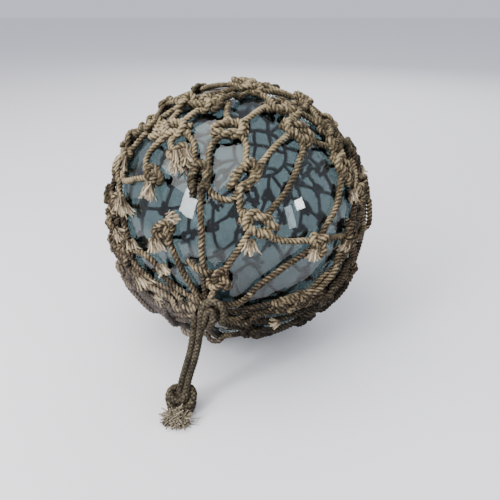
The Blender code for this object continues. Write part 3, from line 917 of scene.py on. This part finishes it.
laid = []
for index, rope in enumerate(ROPES):
    stops = [stop_place(stop) for stop in rope]
    ends = (rope[0], rope[-1])
    free = [not isinstance(stop, str) or stop == "gather" for stop in ends]
    path = over_ball(stops, FINE_STEP)
    first = round(hidden_end(ends[0]) / FINE_STEP)
    last = len(path) - round(hidden_end(ends[1]) / FINE_STEP)
    path = draped(path[first:last], laid, free, FINE_STEP)
    clear = [0 if end else POINTS_NOT_LAID_ON for end in free]
    laid.append(path[clear[0]:len(path) - clear[1]])
    middle = stops[len(stops) // 2]
    part = pieces["net_ropes_upper" if middle.z > UPPER_FROM else "net_ropes_lower"]
    swell = np.array([1 + 0.07 * noise.noise(Vector(point) * 60) for point in path])
    part.add(path, ROPE_DIAMETER, ROPE_LAY, ROPE_SIDES, outward=Vector(path[0]) - CENTRE,
             tone=rope_tone(middle), phase=index * 0.7, swell=swell)
back_ropes = pieces["net_ropes_back"]
for index, (start, end) in enumerate(pairs):
    path = over_ball([start, end], BACK_STEP)
    first = round(KNOT_INSIDE / BACK_STEP)
    last = len(path) - (first if any(end is place for place in found.values()) else 0)
    back_ropes.add(path[first:last], BACK_ROPE_DIAMETER, ROPE_LAY, BACK_ROPE_SIDES, outward=start,
                   tone=rope_tone(start), phase=index * 0.7)
for rank, (start, end, lon, lat) in enumerate(CROWN_ROPES):
    start, end = from_gather(CROWN_RING_POLAR, start), from_gather(CROWN_RING_POLAR, end)
    path = over_ball([start, direction(lon, lat), end], BACK_STEP)
    outward = (path - np.array(CENTRE)) / ROPE_RADIUS
    apart = np.linalg.norm(outward - np.array(direction(*CROWN)), axis=1) * ROPE_RADIUS
    lift = 0.7 * ROPE_DIAMETER * rank * np.exp(-(apart / CROWN_HUMP) ** 2)
    path += outward * lift[:, None]
    back_ropes.add(path, BACK_ROPE_DIAMETER, ROPE_LAY, BACK_ROPE_SIDES, outward=start, tone=0.5)
crown = [
    CENTRE + from_gather(CROWN_RING_POLAR, 360 * i / CROWN_RING_POINTS) * ROPE_RADIUS
    for i in range(CROWN_RING_POINTS + 2)
]
back_ropes.add(smooth_path(crown, BACK_STEP), BACK_ROPE_DIAMETER, ROPE_LAY, BACK_ROPE_SIDES,
               outward=from_gather(CROWN_RING_POLAR, 0))
for index, place in enumerate(found.values()):
    turn = 60 * (index % 3) + 17 * (index % 5)
    knots[f"hidden_{index}"] = (place, turn, ("weave", "turns")[index % 2])
for name, (place, turn, kind) in knots.items():
    ahead = heading_at(place, turn)
    side = place.cross(ahead)
    uneven = 1.0 + 0.08 * noise.noise(place * 9)
    if name.startswith(("hidden", "under")):
        piece, step, sides = pieces["net_knots_back"], BACK_STEP, BACK_ROPE_SIDES
        size, diameter = BACK_ROPE_DIAMETER * uneven, BACK_ROPE_DIAMETER
    else:
        piece, step, sides = pieces["net_knots_front"], FINE_STEP, ROPE_SIDES
        size, diameter = ROPE_DIAMETER * uneven, ROPE_DIAMETER * 1.1
    rise = 0.6 if name.startswith("under") else 0.8
    for route in knot_routes(kind):
        points = []
        for a, b, c in route:
            flat = place * ROPE_RADIUS + (ahead * a + side * b) * size
            wobble = Vector(noise.noise_vector(flat * 55 + place * 7)) * 0.0011
            points.append(CENTRE + (flat + wobble).normalized() * (ROPE_RADIUS + c * size * rise))
        piece.add(smooth_path(points, step), diameter, ROPE_LAY, sides, outward=place,
                  tone=rope_tone(place) + 0.04)
for name, piece in pieces.items():
    item = piece.made(name, net_finish)
    if name == "net_ropes_upper":
        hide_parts("rope_net")
    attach(item, "root")


# Gather. The ropes of the net are drawn together here and bound with four turns, and the
# tail's own rope comes out from under them, over in an arch and down.
GATHER_UP = heading_at(gather, 90)
GATHER_SIDE = gather.cross(GATHER_UP)
BINDING_TURNS = [(0.0085, 0.15, 0.0125, 0.0085), (0.0015, -0.10, 0.0135, 0.0090),
                 (-0.0055, 0.12, 0.0135, 0.0085), (-0.0125, -0.2, 0.0125, 0.0080)]
BINDING_POINTS = 20
bound = RopeMesh()
for along, lean, width, height in BINDING_TURNS:
    loop = []
    for i in range(BINDING_POINTS + 1):
        turn = 2 * math.pi * i / BINDING_POINTS
        out = ROPE_RADIUS + height * (0.5 + 0.5 * math.sin(turn))
        slant = GATHER_UP * (along + lean * width * math.cos(turn))
        across = GATHER_SIDE * width * math.cos(turn) + slant
        loop.append(CENTRE + gather * out + across)
    bound.add(smooth_path(loop, FINE_STEP), ROPE_DIAMETER, ROPE_LAY, ROPE_SIDES, outward=gather,
              tone=0.45)
binding = bound.made("gather_binding", net_finish)
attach(binding, "root")

led = RopeMesh()
RIGHT_LEAD = [
    (-0.0136, -0.1674, 0.1108), (-0.0112, -0.1681, 0.1200), (-0.0116, -0.1682, 0.1281),
    (-0.0150, -0.1670, 0.1345), (-0.0214, -0.1667, 0.1372), (-0.0277, -0.1656, 0.1350),
    (-0.0318, -0.1657, 0.1306),
    TAIL_ROUTES["tail_strand_right"][0],
]
INNER_LEAD = [
    (-0.0260, -0.1688, 0.1061), (-0.0226, -0.1697, 0.1170), (-0.0220, -0.1681, 0.1243),
    (-0.0248, -0.1673, 0.1277), (-0.0285, -0.1668, 0.1244), (-0.0308, -0.1674, 0.1172),
    (-0.0326, -0.1662, 0.1067),
]
LEFT_LEAD = [(-0.0370, -0.1500, 0.1110), (-0.0405, -0.1560, 0.1125), (-0.0422, -0.1620, 0.1095),
             TAIL_ROUTES["tail_strand_left"][0]]
for route in (RIGHT_LEAD, INNER_LEAD, LEFT_LEAD):
    led.add(smooth_path(route, TAIL_KNOT_STEP), TAIL_DIAMETER, TAIL_LAY, TAIL_SIDES, plaited_profile,
            TAIL_OUTWARD)
leads = led.made("gather_arch", tail_finish)
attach(leads, "root")


# Frayed ends. Each cut end of the mended net has opened into a brush of bleached fibre,
# and the ropes are hairy with broken fibres all along.
net_fibre_finish = fibre_finish("net fibre", (0.060, 0.041, 0.025), (0.56, 0.46, 0.31))
NET_BRUSHES = [
    ((-28, 44), -60, 0.0230, 0.36, 75, (0.0165, 0.0095)),
    ((-44, 53.5), 215, 0.0100, 0.32, 37, (0.0080, 0.0065)),
    ((-48, 49), 170, 0.0090, 0.32, 30, (0.0070, 0.0060)),
    ((-38, 30.5), -82, 0.0170, 0.24, 50, (0.0085, 0.0065)),
    ((-67, 35), -85, 0.0190, 0.40, 47, (0.0110, 0.0080)),
    ((-54, 21), -60, 0.0210, 0.40, 65, (0.0130, 0.0085)),
    ((-54, 8), -30, 0.0130, 0.40, 47, (0.0110, 0.0080)),
    ((-44, 7.5), -60, 0.0130, 0.40, 37, (0.0090, 0.0070)),
    ((-40.5, -7.5), -50, 0.0170, 0.48, 70, (0.0150, 0.0095)),
    ((-25.5, 20), 35, 0.0100, 0.48, 42, (0.0110, 0.0080)),
    ((-31, 12), -80, 0.0150, 0.32, 47, (0.0110, 0.0070)),
    ((-28, 2.5), -70, 0.0130, 0.32, 37, (0.0080, 0.0065)),
    ((-33.5, -13.5), -30, 0.0140, 0.40, 47, (0.0105, 0.0080)),
    ((47, 65.5), -60, 0.0100, 0.40, 37, (0.0080, 0.0065)),
    ((6, 15), -92, 0.0150, 0.28, 50, (0.0085, 0.0065)),
    ((31, 8), -110, 0.0140, 0.28, 45, (0.0085, 0.0065)),
    ((57, 23), -80, 0.0130, 0.40, 37, (0.0085, 0.0070)),
    ((48, 6), -110, 0.0130, 0.32, 37, (0.0090, 0.0070)),
    ((19, -25), 200, 0.0110, 0.40, 32, (0.0085, 0.0060)),
    ((80, 26), -80, 0.0130, 0.40, 32, (0.0075, 0.0060)),
]
BRUSHES_OUT = 0.0050
NET_YARN_RADIUS = 0.00165
net_fibres = FibreMesh(11)
for place, turned, length, spread, count, size in NET_BRUSHES:
    way = direction(*place)
    start = CENTRE + way * (ROPE_RADIUS + BRUSHES_OUT)
    ahead = heading_at(way, turned) - way * 0.12
    net_fibres.brush(start, ahead, way, length, spread, count, NET_YARN_RADIUS, size, 0.20)

HAIRY_PIECES = ["net_ropes_upper", "net_ropes_lower", "net_knots_front"]
HAIRS_ON_EACH = 1700
HAIR_RADIUS = 0.00011
hair = random.Random(23)
for name in HAIRY_PIECES:
    every = np.vstack(pieces[name].points)
    for _ in range(HAIRS_ON_EACH):
        root = Vector(every[hair.randrange(len(every))])
        out = (root - CENTRE).normalized()
        aim = (out * hair.uniform(0.15, 0.9) + heading_at(out, hair.uniform(0, 360))).normalized()
        reach = hair.uniform(0.0015, 0.0050)
        curl = heading_at(out, hair.uniform(0, 360)) * reach * 0.5
        path = np.array([root + aim * reach * t + curl * t * t for t in (0, 0.35, 0.7, 1)])
        net_fibres.add(path, HAIR_RADIUS, (0.1, 0.6))
frays = net_fibres.made("net_frayed_ends", net_fibre_finish)
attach(frays, "root")


# Floor and light. A plain pale floor, a broad soft lamp from above left, a tall one at the
# left and two small ones at the right whose shapes show in the glass, and pale light all round.
bpy.ops.object.select_all(action="DESELECT")
bpy.ops.mesh.primitive_plane_add(size=12)
floor = bpy.context.object
floor.name = "floor"
FLOOR_COLOUR = (0.87, 0.86, 0.88, 1)
floor_finish = Finish("pale floor")
floor_finish.use("Base Color", FLOOR_COLOUR)
floor_finish.use("Roughness", 0.7)
floor.data.materials.append(floor_finish.material)


# Each lamp has its place, the place it shines at, its width and height, power and colour.
LAMPS = {
    "overhead": ((-0.75, -0.45, 1.70), (0, 0, 0.15), (2.0, 2.0), 46, (1.0, 0.98, 0.95)),
    "tall left": ((-0.871, -0.902, 0.869), (0, 0, 0.20), (0.32, 0.72), 16, (0.95, 0.98, 1.0)),
    "square right": ((1.14, -0.713, 0.654), (0, 0, 0.19), (0.18, 0.18), 4.0, (0.97, 0.99, 1.0)),
    "narrow right": ((1.013, -0.96, 0.506), (0, 0, 0.19), (0.16, 0.42), 1.6, (0.80, 0.94, 1.0)),
    "behind": ((0.5, 1.7, 1.2), (0, 0, 0.15), (1.6, 1.0), 18, (0.95, 0.97, 1.0)),
}
for name, (place, aim, size, power, colour) in LAMPS.items():
    lamp = bpy.data.lights.new(name, "AREA")
    lamp.shape = "RECTANGLE"
    lamp.size, lamp.size_y = size
    lamp.energy = power
    lamp.color = colour
    item = bpy.data.objects.new(name, lamp)
    item.location = place
    item.rotation_euler = (Vector(aim) - Vector(place)).to_track_quat("-Z", "Y").to_euler()
    bpy.context.scene.collection.objects.link(item)
ALL_ROUND_COLOUR = (0.84, 0.85, 0.97, 1)
ALL_ROUND_STRENGTH = 0.85
all_round = bpy.data.worlds.new("pale all round")
all_round.use_nodes = True
background = all_round.node_tree.nodes["Background"]
background.inputs["Color"].default_value = ALL_ROUND_COLOUR
background.inputs["Strength"].default_value = ALL_ROUND_STRENGTH
bpy.context.scene.world = all_round
